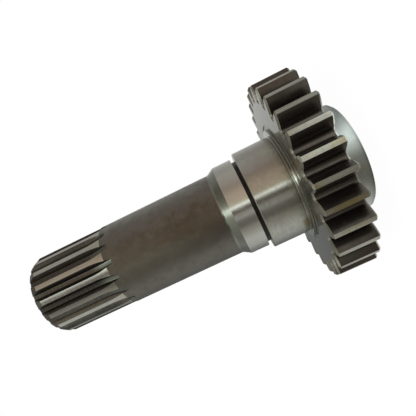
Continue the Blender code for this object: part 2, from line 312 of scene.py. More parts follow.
# What it mirrors high up, counted in the same way: a lamp above the camera and a dim ceiling
CEILING_COLOURS = [
    (-180, 0.35, 0.35, 0.33),
    (-108, 0.37, 0.37, 0.34),
    (-83, 0.42, 0.42, 0.38),
    (-56, 0.50, 0.51, 0.44),
    (-41, 0.57, 0.59, 0.50),
    (-26, 0.70, 0.73, 0.62),
    (-16, 1.00, 1.05, 0.92),
    (-7, 2.20, 2.40, 2.20),
    (7, 2.80, 3.05, 2.80),
    (16, 1.20, 1.28, 1.12),
    (26, 0.70, 0.72, 0.58),
    (41, 0.46, 0.45, 0.36),
    (56, 0.31, 0.30, 0.24),
    (83, 0.24, 0.23, 0.19),
    (95, 0.28, 0.27, 0.23),
    (120, 0.44, 0.44, 0.42),
    (180, 0.50, 0.50, 0.48),
]
ZENITH_COLOUR = (0.58, 0.58, 0.56, 1)

# How far up a view has to rise, out of 1, to pass from the walls to the ceiling and to its middle
CEILING_RISE = (0.5, 0.72)
ZENITH_RISE = (0.965, 1.0)

# The even light that everything else takes from the walls
WALL_GLOW = (0.80, 0.80, 0.79, 1)

# The pool of light on the floor that shiny steel mirrors
FLOOR_COLOURS = [
    (-180, 0.50, 0.50, 0.48),
    (-120, 0.55, 0.55, 0.53),
    (-94, 0.75, 0.76, 0.73),
    (-77, 0.75, 0.76, 0.73),
    (-63, 0.62, 0.62, 0.58),
    (-52, 0.47, 0.47, 0.43),
    (-43, 0.30, 0.29, 0.25),
    (-33, 0.21, 0.20, 0.165),
    (-24, 0.20, 0.185, 0.155),
    (-15, 0.27, 0.255, 0.215),
    (-7, 0.31, 0.305, 0.27),
    (0, 0.50, 0.51, 0.46),
    (9, 1.00, 1.06, 0.98),
    (16.5, 1.40, 1.52, 1.44),
    (25, 1.50, 1.62, 1.56),
    (33, 1.12, 1.18, 1.14),
    (43, 0.72, 0.76, 0.73),
    (52, 0.46, 0.48, 0.46),
    (62, 0.44, 0.45, 0.43),
    (93, 0.50, 0.50, 0.48),
    (110, 0.56, 0.56, 0.54),
    (180, 0.60, 0.60, 0.58),
]

# The floor: its size and colour, and where the pool of light on it ends
FLOOR_SIZE = 8.0
FLOOR_COLOUR = (0.86, 0.86, 0.85, 1)
FLOOR_ROUGHNESS = 0.9
POOL_EDGE = (0.14, 0.20)

# The shade round the hub that shiny steel mirrors: from where to where, and how dark
CONTACT_SHADE = (HUB_RADIUS, HUB_RADIUS + 6.0 * MM)
CONTACT_DARKNESS = 0.4

# How white the floor is to the camera, and how much of it is that plain white and not lit floor
FLOOR_GLOW = 1.04
FLOOR_GLOW_SHARE = 0.93

# The soft lights: degrees round from the camera, distance, height, size, strength and colour
SOFT_LIGHTS = [
    ("strip_light", 2.2, 0.55, 230.0 * MM, (0.13, 0.50), 1.3, (0.97, 1.0, 0.97)),
    ("warm_side_light", 48.0, 0.80, 300.0 * MM, (0.60, 0.50), 0.9, (1.0, 0.95, 0.88)),
    ("fill_light", -80.0, 0.90, 350.0 * MM, (0.60, 0.60), 0.6, (0.97, 0.99, 1.0)),
]
LIGHT_AIM_HEIGHT = 70.0 * MM


def polar(radius, angle):
    """A point in the plane, from its radius and its angle."""
    return radius * math.cos(angle), radius * math.sin(angle)


def involute(angle):
    """The involute function of an angle."""
    return math.tan(angle) - angle


def half_tooth_angle(radius, pitch_radius, pressure_angle, thickness):
    """Half the angle that an involute tooth spans at a radius."""
    angle_here = math.acos(min(1.0, pitch_radius * math.cos(pressure_angle) / radius))
    return thickness / (2 * pitch_radius) + involute(pressure_angle) - involute(angle_here)


def steps_between(first, last, steps):
    """Evenly spaced values from the first to the last, both included."""
    return [first + (last - first) * step / steps for step in range(steps + 1)]


def fillet(centre_radius, centre_height, arc_radius, start, end):
    """Points of a fillet in the turned section, with its start and end angles in degrees."""
    points = []
    for angle in steps_between(math.radians(start), math.radians(end), FILLET_STEPS):
        x, z = polar(arc_radius, angle)
        points.append((centre_radius + x, centre_height + z))
    return points


def draw_line(name, points):
    """A new object in edit mode: one vertex, extruded from point to point."""
    bpy.ops.object.select_all(action="DESELECT")
    bpy.ops.mesh.primitive_plane_add(size=MM, location=(0.0, 0.0, 0.0))
    piece = bpy.context.object
    piece.name = name
    bpy.ops.object.mode_set(mode="EDIT")
    bpy.ops.mesh.select_mode(type="VERT")
    bpy.ops.mesh.select_all(action="SELECT")
    bpy.ops.mesh.merge(type="CENTER")
    bpy.ops.transform.translate(value=points[0])
    for start, end in zip(points, points[1:]):
        step = Vector(end) - Vector(start)
        bpy.ops.mesh.extrude_region_move(TRANSFORM_OT_translate={"value": step})
    return piece


def weld():
    """Merge what coincides in the mesh being edited."""
    bpy.ops.mesh.select_all(action="SELECT")
    bpy.ops.mesh.remove_doubles(threshold=WELD_DISTANCE)


def pick(*pieces):
    """Select just these objects, and make the first of them the active one."""
    bpy.ops.object.select_all(action="DESELECT")
    for piece in pieces:
        piece.select_set(True)
    bpy.context.view_layer.objects.active = pieces[0]


def centre_hole(end_height, inwards):
    """A centre hole's section from its mouth to its bottom, going inwards from an end face."""
    depths = [
        (CENTRE_MOUTH, 0.0),
        (CENTRE_PILOT, CENTRE_CONE_DEPTH),
        (CENTRE_PILOT, CENTRE_PILOT_DEPTH),
        (0.0, CENTRE_BOTTOM_DEPTH),
    ]
    return [(radius, end_height + inwards * depth) for radius, depth in depths]


def upper_section():
    """The turned section from the upper centre hole down to the gear's upper face."""
    tip_step = SHANK_RADIUS - SPLINE_TIP_RADIUS
    slope = math.atan2(COLLAR_RADIUS - SHANK_RADIUS, CONE_TOP - COLLAR_TOP)
    fillet_top = CONE_TOP + CONE_FILLET * math.tan(slope / 2)
    undercut_radius = SEAT_RADIUS - UNDERCUT_DEPTH
    section = centre_hole(OVERALL_LENGTH, -1)[::-1]
    section += [
        (SPLINE_TIP_RADIUS - SPLINE_CHAMFER_DEPTH, OVERALL_LENGTH),
        (SPLINE_TIP_RADIUS, OVERALL_LENGTH - SPLINE_CHAMFER_LENGTH),
        (SPLINE_TIP_RADIUS, SPLINE_BOTTOM),
        (SHANK_RADIUS, SPLINE_BOTTOM - tip_step),
    ]
    section += [(SHANK_RADIUS, RUN_OUT_END - below) for below in SHANK_RINGS]
    fillet_centre = SHANK_RADIUS + CONE_FILLET
    section += fillet(fillet_centre, fillet_top, CONE_FILLET, 180, 180 + math.degrees(slope))
    section += [
        (COLLAR_RADIUS, COLLAR_TOP),
        (COLLAR_RADIUS, GROOVE_TOP),
        (GROOVE_FLOOR_RADIUS, GROOVE_TOP),
        (GROOVE_FLOOR_RADIUS, GROOVE_BOTTOM),
        (SEAT_RADIUS - SEAT_EDGE_CHAMFER, GROOVE_BOTTOM),
        (SEAT_RADIUS, GROOVE_BOTTOM - SEAT_EDGE_CHAMFER),
        (SEAT_RADIUS, UNDERCUT_TOP),
        (undercut_radius, UNDERCUT_TOP - UNDERCUT_DEPTH),
    ]
    undercut_foot = THRUST_FACE + UNDERCUT_FILLET
    section += fillet(undercut_radius + UNDERCUT_FILLET, undercut_foot, UNDERCUT_FILLET, 180, 270)
    section += [
        (THRUST_RING_RADIUS - THRUST_RING_CHAMFER, THRUST_FACE),
        (THRUST_RING_RADIUS, THRUST_FACE - THRUST_RING_CHAMFER),
        (THRUST_RING_RADIUS, GEAR_TOP - RECESS_DEPTH),
        (RECESS_RADIUS - RECESS_DEPTH, GEAR_TOP - RECESS_DEPTH),
        (RECESS_RADIUS, GEAR_TOP),
        (WEB_RADIUS, GEAR_TOP),
    ]
    return section


def lower_section():
    """The turned section from the gear's lower face to the hub's centre hole."""
    section = [(WEB_RADIUS, GEAR_BOTTOM)]
    section += fillet(HUB_RADIUS + HUB_FILLET, GEAR_BOTTOM - HUB_FILLET, HUB_FILLET, 90, 180)
    section += [(HUB_RADIUS, HUB_CHAMFER), (HUB_RADIUS - HUB_CHAMFER, 0.0)]
    return section + centre_hole(0.0, 1)


def turned(name, section):
    """A section drawn as a line and spun round the axis."""
    piece = draw_line(name, [(radius, 0.0, height) for radius, height in section])
    bpy.ops.mesh.select_all(action="SELECT")
    bpy.ops.mesh.spin(steps=TURNED_STEPS, angle=2 * math.pi, center=(0, 0, 0), axis=(0, 0, 1))
    weld()
    bpy.ops.object.mode_set(mode="OBJECT")
    return piece


def root_curve(root_radius, rise, foot_angle, reach, steps):
    """The curve from a root up to the foot of a flank, as radii and angles."""
    return [
        (root_radius + rise * (1 - math.cos(turn)), foot_angle + reach * (1 - math.sin(turn)))
        for turn in steps_between(0.0, math.pi / 2, steps)[:-1]
    ]


def gear_tooth_line():
    """One gear tooth's outline in the plane, anticlockwise from root middle to root middle."""
    thickness = math.pi * GEAR_MODULE / 2 - GEAR_TOOTH_THINNING
    half_pitch = math.pi / GEAR_TEETH
    base_radius = GEAR_PITCH_RADIUS * math.cos(GEAR_PRESSURE_ANGLE)
    side = []
    for radius in steps_between(base_radius, GEAR_TIP_RADIUS, FLANK_STEPS):
        angle = half_tooth_angle(radius, GEAR_PITCH_RADIUS, GEAR_PRESSURE_ANGLE, thickness)
        side.append((radius, angle))
    rise = base_radius - GEAR_ROOT_RADIUS
    fillet_angle = GEAR_ROOT_FILLET / GEAR_ROOT_RADIUS
    foot = root_curve(GEAR_ROOT_RADIUS, rise, side[0][1], fillet_angle, FILLET_STEPS)
    left = foot + side
    right = [(radius, -angle) for radius, angle in left]
    root_middle = [(GEAR_ROOT_RADIUS, -half_pitch)]
    last_root = [(GEAR_ROOT_RADIUS, half_pitch)]
    outline = root_middle + right + [(GEAR_TIP_RADIUS, 0.0)] + left[::-1] + last_root
    return [polar(radius, angle) for radius, angle in outline]


def select_edges(piece, height, reach, open_only=False):
    """Select just the edges of the mesh being edited that lie at a height, or only its open ones."""
    bpy.ops.mesh.select_mode(type="EDGE")
    bpy.ops.mesh.select_all(action="DESELECT")
    mesh = bmesh.from_edit_mesh(piece.data)
    for edge in mesh.edges:
        level = all(abs(vertex.co.z - height) < reach for vertex in edge.verts)
        if level and (edge.is_boundary or not open_only):
            edge.select = True
    mesh.select_flush_mode()
    bmesh.update_edit_mesh(piece.data)


def copy_round(copies):
    """Copy the mesh being edited evenly round the axis, and merge the copies where they meet."""
    full_turn = 2 * math.pi
    bpy.ops.mesh.select_all(action="SELECT")
    bpy.ops.mesh.spin(steps=copies, dupli=True, angle=full_turn, center=(0, 0, 0), axis=(0, 0, 1))
    weld()


def tooth_rim():
    """The gear's rim: one tooth's outline, copied round, drawn down and chamfered at both ends."""
    rim = draw_line("tooth_rim", [(x, y, GEAR_TOP) for x, y in gear_tooth_line()])
    copy_round(GEAR_TEETH)
    bpy.ops.mesh.select_all(action="SELECT")
    bpy.ops.mesh.extrude_region_move(TRANSFORM_OT_translate={"value": (0, 0, GEAR_BOTTOM - GEAR_TOP)})
    bpy.ops.mesh.select_all(action="DESELECT")
    for height in (GEAR_TOP, GEAR_BOTTOM):
        select_edges(rim, height, WELD_DISTANCE)
        bpy.ops.mesh.edge_face_add()
    for height in (GEAR_TOP, GEAR_BOTTOM):
        select_edges(rim, height, WELD_DISTANCE)
        bpy.ops.mesh.bevel(offset=TOOTH_EDGE_CHAMFER, segments=1, affect="EDGES", clamp_overlap=False)
    return rim


def open_rim(rim):
    """Take out the rim's two flat end faces, so that it can be bridged to the turned web."""
    bpy.ops.mesh.select_mode(type="FACE")
    bpy.ops.mesh.select_all(action="DESELECT")
    mesh = bmesh.from_edit_mesh(rim.data)
    for face in mesh.faces:
        if abs(face.normal.z) > FLAT_END and len(face.verts) > GEAR_TEETH:
            face.select = True
    mesh.select_flush_mode()
    bmesh.update_edit_mesh(rim.data)
    bpy.ops.mesh.delete(type="FACE")
    bpy.ops.object.mode_set(mode="OBJECT")
    return rim


def bridge_web(shaft):
    """Fill the gear's two flat faces between the web's circle and the chamfered outline."""
    bpy.ops.object.mode_set(mode="EDIT")
    for height in (GEAR_TOP, GEAR_BOTTOM):
        select_edges(shaft, height, OPEN_EDGE_REACH, open_only=True)
        bpy.ops.mesh.bridge_edge_loops()
    bpy.ops.object.mode_set(mode="OBJECT")


def spline_tooth_angle(radius):
    """Half the angle that a spline tooth spans at a radius."""
    return half_tooth_angle(radius, SPLINE_PITCH_RADIUS, SPLINE_PRESSURE_ANGLE, SPLINE_TOOTH_THICKNESS)


def spline_space_line():
    """One space of the spline in the plane, its middle on +X, from edge to edge across its root."""
    half_pitch = math.pi / SPLINE_TEETH
    radii = steps_between(SPLINE_ROOT_RADIUS + SPLINE_ROOT_FILLET, SPLINE_TIP_RADIUS, FLANK_STEPS // 2)
    radii.append(SHANK_RADIUS + 2 * CUTTER_OVERRUN)
    side = [(radius, half_pitch - spline_tooth_angle(radius)) for radius in radii]
    inwards = -SPLINE_ROOT_FILLET / SPLINE_ROOT_RADIUS
    foot = root_curve(
        SPLINE_ROOT_RADIUS, SPLINE_ROOT_FILLET, side[0][1], inwards, FILLET_STEPS // 2
    )
    left = foot + side
    right = [(radius, -angle) for radius, angle in left]
    outline = right[::-1] + [(SPLINE_ROOT_RADIUS, 0.0)] + left
    return [polar(radius, angle) for radius, angle in outline]


def spline_cutter():
    """All the spline's spaces: one drawn, run down and round with the hob, then copied round."""
    top = OVERALL_LENGTH + CUTTER_OVERRUN
    cutter = draw_line("spline_cutter", [(x, y, top) for x, y in spline_space_line()])
    bpy.ops.mesh.select_all(action="SELECT")
    bpy.ops.mesh.edge_face_add()
    bpy.ops.mesh.extrude_region_move(TRANSFORM_OT_translate={"value": (0, 0, SPLINE_FULL_DEPTH - top)})
    hob_axis = SPLINE_ROOT_RADIUS + HOB_RADIUS
    exit_angle = math.acos((hob_axis - SHANK_RADIUS - CUTTER_OVERRUN) / HOB_RADIUS)
    bpy.ops.mesh.spin(
        steps=RUN_OUT_STEPS, angle=exit_angle, center=(hob_axis, 0, SPLINE_FULL_DEPTH), axis=(0, 1, 0)
    )
    bpy.ops.object.mode_set(mode="OBJECT")
    first_space = SPLINE_CLOCKING + math.pi / SPLINE_TEETH
    cutter.data.transform(Matrix.Rotation(first_space, 4, "Z"))
    bpy.ops.object.mode_set(mode="EDIT")
    copy_round(SPLINE_TEETH)
    bpy.ops.mesh.select_all(action="SELECT")
    bpy.ops.mesh.normals_make_consistent(inside=False)
    bpy.ops.object.mode_set(mode="OBJECT")
    return cutter


def cut(piece, cutter):
    """Take a cutter's shape out of a piece, and remove the cutter."""
    hobbing = piece.modifiers.new("Hobbing", "BOOLEAN")
    hobbing.operation = "DIFFERENCE"
    hobbing.solver = "EXACT"
    hobbing.object = cutter
    pick(piece)
    bpy.ops.object.modifier_apply(modifier=hobbing.name)
    bpy.data.objects.remove(cutter, do_unlink=True)


def round_edges(piece):
    """Break every machined edge a little, and shade the rest smooth."""
    pick(piece)
    rounding = piece.modifiers.new("Edge rounding", "BEVEL")
    rounding.width = EDGE_ROUNDING
    rounding.segments = ROUNDING_SEGMENTS
    rounding.limit_method = "ANGLE"
    rounding.angle_limit = ROUNDING_ANGLE
    rounding.harden_normals = True
    bpy.ops.object.shade_smooth()
    bpy.ops.object.modifier_apply(modifier=rounding.name)


def shaft_piece():
    """The whole visible shaft."""
    shaft = turned("machined_shaft", upper_section())
    lower = turned("lower_turning", lower_section())
    rim = open_rim(tooth_rim())
    pick(shaft, lower, rim)
    bpy.ops.object.join()
    bridge_web(shaft)
    bpy.ops.object.mode_set(mode="EDIT")
    weld()
    bpy.ops.mesh.normals_make_consistent(inside=False)
    bpy.ops.object.mode_set(mode="OBJECT")
    cut(shaft, spline_cutter())
    round_edges(shaft)
    return shaft


def gear_finish(radius, height, outward, upward):
    """The finish at a place on the gear, from the way that the surface faces."""
    if radius > GEAR_TIP_RADIUS - TIP_LAND_DEPTH and outward > TOOTH_TOP:
        return "bright_tooth_tip"
    if abs(upward) > FLAT_END or radius < WEB_RADIUS:
        return "turned_gear_face"
    near_end = height > GEAR_TOP - TOOTH_EDGE_CHAMFER or height < GEAR_BOTTOM + TOOTH_EDGE_CHAMFER
    if near_end and abs(upward) > TOOTH_CHAMFER:
        return "bare_tooth_chamfer"
    return "dark_tooth_flank"


def spline_finish(radius, height, outward, upward):
    """The finish at a place on the splined end."""
    if upward > SPLINE_END:
        return "splined_end_face"
    on_crest = radius > SPLINE_TIP_RADIUS - SURFACE_MARGIN and height > SPLINE_BOTTOM
    if on_crest and outward > TOOTH_TOP:
        return "spline_crest"
    if radius > SHANK_RADIUS - SURFACE_MARGIN and outward > SHANK_SKIN:
        return "dark_shank"
    if outward > GROOVE_FLOOR:
        return "spline_root_floor"
    return "dark_spline_flank"


def turned_finish(radius, height):
    """The finish at a place on the turned middle of the shaft."""
    if height > CONE_TOP + GROUND_PAST_CONE:
        return "dark_shank"
    if height > COLLAR_TOP:
        return "ground_cone"
    if height > GROOVE_TOP:
        return "ground_seat"
    if height > GROOVE_BOTTOM:
        return "oily_groove"
    if height > THRUST_FACE - SURFACE_MARGIN and radius < SEAT_RADIUS + SURFACE_MARGIN:
        return "ground_seat"
    return "turned_gear_face"


def finish_at(centre, normal):
    """The name of the finish at a face of the shaft."""
    radius = max(math.hypot(centre.x, centre.y), WELD_DISTANCE)
    outward = (normal.x * centre.x + normal.y * centre.y) / radius
    if centre.z < GEAR_BOTTOM - SURFACE_MARGIN:
        return "satin_hub"
    if radius > THRUST_RING_RADIUS + SURFACE_MARGIN:
        return gear_finish(radius, centre.z, outward, normal.z)
    if centre.z > RUN_OUT_END:
        return spline_finish(radius, centre.z, outward, normal.z)
    return turned_finish(radius, centre.z)


def shared_effect(name, inputs, outputs):
    """An empty shader node group with named inputs and outputs."""
    group = bpy.data.node_groups.new(name, "ShaderNodeTree")
    for socket, kind, value in inputs:
        made = group.interface.new_socket(socket, in_out="INPUT", socket_type="NodeSocket" + kind)
        if value is not None:
            made.default_value = value
    for socket in outputs:
        group.interface.new_socket(socket, in_out="OUTPUT", socket_type="NodeSocketFloat")
    return group, group.nodes.new("NodeGroupInput"), group.nodes.new("NodeGroupOutput")


def connect(tree, value, socket):
    """Give a socket a link from another socket, or a plain value."""
    if isinstance(value, bpy.types.NodeSocket):
        tree.links.new(value, socket)
    else:
        socket.default_value = value


def sums(tree, operation, first, second=0.0, third=0.0):
    """A Math node's result."""
    node = tree.nodes.new("ShaderNodeMath")
    node.operation = operation
    for value, socket in zip((first, second, third), node.inputs):
        connect(tree, value, socket)
    return node.outputs[0]


def ranged(tree, value, low, high, low_result=0.0, high_result=1.0):
    """A value taken smoothly from one range to another, and held at its ends."""
    node = tree.nodes.new("ShaderNodeMapRange")
    node.interpolation_type = "SMOOTHSTEP"
    for given, socket in zip((value, low, high, low_result, high_result), node.inputs):
        connect(tree, given, socket)
    return node.outputs[0]


def noise(tree, place, scale, detail=3.0, roughness=0.55, distortion=0.0):
    """Noise at a place."""
    node = tree.nodes.new("ShaderNodeTexNoise")
    connect(tree, place, node.inputs["Vector"])
    connect(tree, scale, node.inputs["Scale"])
    node.inputs["Detail"].default_value = detail
    node.inputs["Roughness"].default_value = roughness
    node.inputs["Distortion"].default_value = distortion
    return node.outputs["Fac"]


def stretched(tree, place, scale):
    """A place, stretched along each axis."""
    node = tree.nodes.new("ShaderNodeMapping")
    connect(tree, place, node.inputs["Vector"])
    node.inputs["Scale"].default_value = scale
    return node.outputs[0]


def mixed(tree, share, first, second):
    """A colour between two others."""
    node = tree.nodes.new("ShaderNodeMix")
    node.data_type = "RGBA"
    connect(tree, share, node.inputs["Factor"])
    for value, socket in zip((first, second), MIX_COLOURS):
        connect(tree, value, node.inputs[socket])
    return node.outputs[MIX_RESULT]


def distance_from_middle(tree, place):
    """How far a place, a vector, is from zero."""
    length = tree.nodes.new("ShaderNodeVectorMath")
    length.operation = "LENGTH"
    tree.links.new(place, length.inputs[0])
    return length.outputs["Value"]


def along(tree, place, across):
    """Height on the axis, or the radius from it where across is 1."""
    parts = tree.nodes.new("ShaderNodeSeparateXYZ")
    tree.links.new(place, parts.inputs[0])
    x, y, z = parts.outputs
    squares = sums(tree, "ADD", sums(tree, "MULTIPLY", x, x), sums(tree, "MULTIPLY", y, y))
    by_radius = sums(tree, "MULTIPLY", sums(tree, "SQRT", squares), across)
    by_height = sums(tree, "MULTIPLY", z, sums(tree, "SUBTRACT", 1.0, across))
    return sums(tree, "ADD", by_radius, by_height)


def turning_lines():
    """Fine rings that a tool leaves, up the axis or, where Across is 1, out over a flat face."""
    group, given, made = shared_effect(
        "turning_lines",
        [("Place", "Vector", None), ("Across", "Float", 0.0), ("Fineness", "Float", 3000.0)],
        ["Lines"],
    )
    position = along(group, given.outputs["Place"], given.outputs["Across"])
    lines = group.nodes.new("ShaderNodeTexNoise")
    lines.noise_dimensions = "1D"
    group.links.new(position, lines.inputs["W"])
    group.links.new(given.outputs["Fineness"], lines.inputs["Scale"])
    lines.inputs["Detail"].default_value = 3.0
    lines.inputs["Roughness"].default_value = LINE_ROUGHNESS
    group.links.new(ranged(group, lines.outputs["Fac"], *LINE_RANGE), made.inputs["Lines"])
    return group


def mottling():
    """Cloudy patches of oil and oxide, large ones broken by small ones."""
    group, given, made = shared_effect(
        "mottling",
        [("Place", "Vector", None), ("Size", "Float", 60.0), ("Softness", "Float", 0.2)],
        ["Patches", "Specks"],
    )
    place = given.outputs["Place"]
    size = given.outputs["Size"]
    large = noise(group, place, size, 4.0, 0.6, 0.4)
    small = noise(group, place, sums(group, "MULTIPLY", size, SMALL_FINENESS), 3.0, 0.6)
    large_part = sums(group, "MULTIPLY", large, LARGE_PATCHES)
    blend = sums(group, "MULTIPLY_ADD", small, SMALL_PATCHES, large_part)
    low = sums(group, "SUBTRACT", 0.5, given.outputs["Softness"])
    high = sums(group, "ADD", 0.5, given.outputs["Softness"])
    group.links.new(ranged(group, blend, low, high), made.inputs["Patches"])
    group.links.new(ranged(group, small, *SPECK_RANGE), made.inputs["Specks"])
    return group


def scratches():
    """Thin marks from handling, some round the shaft and some along it."""
    group, given, made = shared_effect(
        "scratches",
        [("Place", "Vector", None), ("Scale", "Float", 220.0), ("Width", "Float", 0.04)],
        ["Marks"],
    )
    masks = []
    for stretch in SCRATCH_STRETCHES:
        cells = group.nodes.new("ShaderNodeTexVoronoi")
        cells.feature = "DISTANCE_TO_EDGE"
        group.links.new(stretched(group, given.outputs["Place"], stretch), cells.inputs["Vector"])
        group.links.new(given.outputs["Scale"], cells.inputs["Scale"])
        masks.append(ranged(group, cells.outputs["Distance"], 0.0, given.outputs["Width"], 1.0, 0.0))
    where = ranged(group, noise(group, given.outputs["Place"], SCRATCHED_FINENESS), *SCRATCHED_RANGE)
    both = sums(group, "MAXIMUM", *masks)
    group.links.new(sums(group, "MULTIPLY", both, where), made.inputs["Marks"])
    return group


def band_round():
    """A soft band between two heights on the axis, or between two radii where Across is 1."""
    group, given, made = shared_effect(
        "band_round",
        [
            ("Place", "Vector", None),
            ("Across", "Float", 0.0),
            ("Low", "Float", 0.0),
            ("High", "Float", 1.0),
            ("Softness", "Float", 0.1 * MM),
        ],
        ["Band"],
    )
    position = along(group, given.outputs["Place"], given.outputs["Across"])
    low = given.outputs["Low"]
    high = given.outputs["High"]
    soft = given.outputs["Softness"]
    rising = ranged(group, position, low, sums(group, "ADD", low, soft))
    falling = ranged(group, position, sums(group, "SUBTRACT", high, soft), high, 1.0, 0.0)
    group.links.new(sums(group, "MULTIPLY", rising, falling), made.inputs["Band"])
    return group


def stain():
    """A soft spot with a broken edge: shorter up the axis where Flatness is over 1, longer below."""
    group, given, made = shared_effect(
        "stain",
        [
            ("Place", "Vector", None),
            ("Centre", "Vector", None),
            ("Reach", "Float", 5.0 * MM),
            ("Flatness", "Float", 1.0),
        ],
        ["Spot"],
    )
    gap = group.nodes.new("ShaderNodeVectorMath")
    gap.operation = "SUBTRACT"
    group.links.new(given.outputs["Place"], gap.inputs[0])
    group.links.new(given.outputs["Centre"], gap.inputs[1])
    squeeze = group.nodes.new("ShaderNodeCombineXYZ")
    squeeze.inputs["X"].default_value = 1.0
    squeeze.inputs["Y"].default_value = 1.0
    group.links.new(given.outputs["Flatness"], squeeze.inputs["Z"])
    squeezed = group.nodes.new("ShaderNodeVectorMath")
    squeezed.operation = "MULTIPLY"
    group.links.new(gap.outputs[0], squeezed.inputs[0])
    group.links.new(squeeze.outputs[0], squeezed.inputs[1])
    distance = distance_from_middle(group, squeezed.outputs[0])
    share = sums(group, "DIVIDE", distance, given.outputs["Reach"])
    edge = noise(group, given.outputs["Place"], STAIN_EDGE_FINENESS, 4.0, 0.65)
    broken = sums(group, "ADD", share, edge)
    group.links.new(ranged(group, broken, *STAIN_EDGE_RANGE, 1.0, 0.0), made.inputs["Spot"])
    return group


def look(eye, target, roll):
    """Point a camera at a target, then roll it about its line of sight."""
    upright = (Vector(target) - eye.location).to_track_quat("-Z", "Y")
    eye.rotation_euler = (upright.to_matrix() @ Euler((0, 0, roll)).to_matrix()).to_euler()


def camera():
    """The camera at the photograph's place, with the photograph's field of view."""
    data = bpy.data.cameras.new("camera")
    eye = bpy.data.objects.new("camera", data)
    bpy.context.scene.collection.objects.link(eye)
    data.sensor_width = SENSOR_WIDTH
    data.lens = SENSOR_WIDTH * CAMERA_FOCAL_PIXELS / FRAME_PIXELS
    half = FRAME_PIXELS / 2
    data.shift_x = (half - CAMERA_CENTRE_PIXELS[0]) / FRAME_PIXELS
    data.shift_y = (CAMERA_CENTRE_PIXELS[1] - half) / FRAME_PIXELS
    data.clip_start = 1.0 * MM
    x, y = polar(CAMERA_DISTANCE, CAMERA_AZIMUTH)
    eye.location = (x, y, CAMERA_HEIGHT)
    aim_x, aim_y = polar(CAMERA_AIM_SIDEWAYS, CAMERA_AZIMUTH + math.pi / 2)
    look(eye, (aim_x, aim_y, CAMERA_AIM_HEIGHT), CAMERA_ROLL)
    bpy.context.scene.camera = eye


def new_material(name):
    """A material with its tree and its Principled shader."""
    material = bpy.data.materials.new(name)
    material.use_nodes = True
    tree = material.node_tree
    return material, tree, tree.nodes["Principled BSDF"]


class Finish:
    """Steel with tool lines, clouded by oil. Its colours are clean, clouded and the tool line's."""

    def __init__(
        self, name, colours, roughness, across=0.0, fineness=3000.0, depth=0.0, size=60.0, marks=0.0
    ):
        """The plain finish, before any stain or band is laid over it."""
        self.material, self.tree, self.shader = new_material(name)
        self.place = self.tree.nodes.new("ShaderNodeTexCoord").outputs["Object"]
        self.shader.inputs["Metallic"].default_value = STEEL_METALLIC
        clean, clouded, lined = colours
        lines = self.effect("lines", Across=across, Fineness=fineness)["Lines"]
        clouds = self.effect("mottling", Size=size)
        self.base = mixed(self.tree, clouds["Patches"], clean, clouded)
        self.lay(lines, LINE_SHARE, lined)
        if marks:
            self.lay(self.effect("scratches")["Marks"], marks, BARE_STEEL)
        self.roughness = ranged(self.tree, clouds["Specks"], 0.0, 1.0, *roughness)
        self.tree.links.new(self.roughness, self.shader.inputs["Roughness"])
        if depth:
            self.relief(lines, depth)

    def effect(self, name, **values):
        """A shared effect placed in the material, with its own values."""
        node = self.tree.nodes.new("ShaderNodeGroup")
        node.node_tree = EFFECTS[name]
        self.tree.links.new(self.place, node.inputs["Place"])
        for socket, value in values.items():
            node.inputs[socket].default_value = value
        return node.outputs

    def band(self, low, high, softness=0.1 * MM, across=0.0):
        """The mask of a band between two heights, or between two radii where across is 1."""
        return self.effect("band", Across=across, Low=low, High=high, Softness=softness)["Band"]

    def spot(self, centre, reach, flatness=1.0):
        """The mask of a stain."""
        return self.effect("stain", Centre=centre, Reach=reach, Flatness=flatness)["Spot"]

    def streaks(self, stretch, fineness, detail, roughness):
        """The mask of a fine grain, stretched along each axis."""
        drawn_out = stretched(self.tree, self.place, stretch)
        grain = noise(self.tree, drawn_out, fineness, detail, roughness)
        return ranged(self.tree, grain, *STREAK_RANGE)

    def both(self, first, second):
        """The mask of where two masks meet."""
        return sums(self.tree, "MULTIPLY", first, second)

    def outside(self, mask):
        """The mask of all that another mask leaves."""
        return sums(self.tree, "SUBTRACT", 1.0, mask)

    def lay(self, mask, strength, colour):
        """Lay one more colour over the finish where a mask says."""
        share = sums(self.tree, "MULTIPLY", mask, strength)
        self.base = mixed(self.tree, share, self.base, colour)
        self.tree.links.new(self.base, self.shader.inputs["Base Color"])

    def roughen(self, mask, amount):
        """Raise the roughness where a mask says."""
        self.roughness = sums(self.tree, "MULTIPLY_ADD", mask, amount, self.roughness)
        self.tree.links.new(self.roughness, self.shader.inputs["Roughness"])

    def relief(self, height, depth):
        """Bump from a height."""
        bump = self.tree.nodes.new("ShaderNodeBump")
        bump.inputs["Strength"].default_value = 1.0
        bump.inputs["Distance"].default_value = depth
        self.tree.links.new(height, bump.inputs["Height"])
        self.tree.links.new(bump.outputs[0], self.shader.inputs["Normal"])


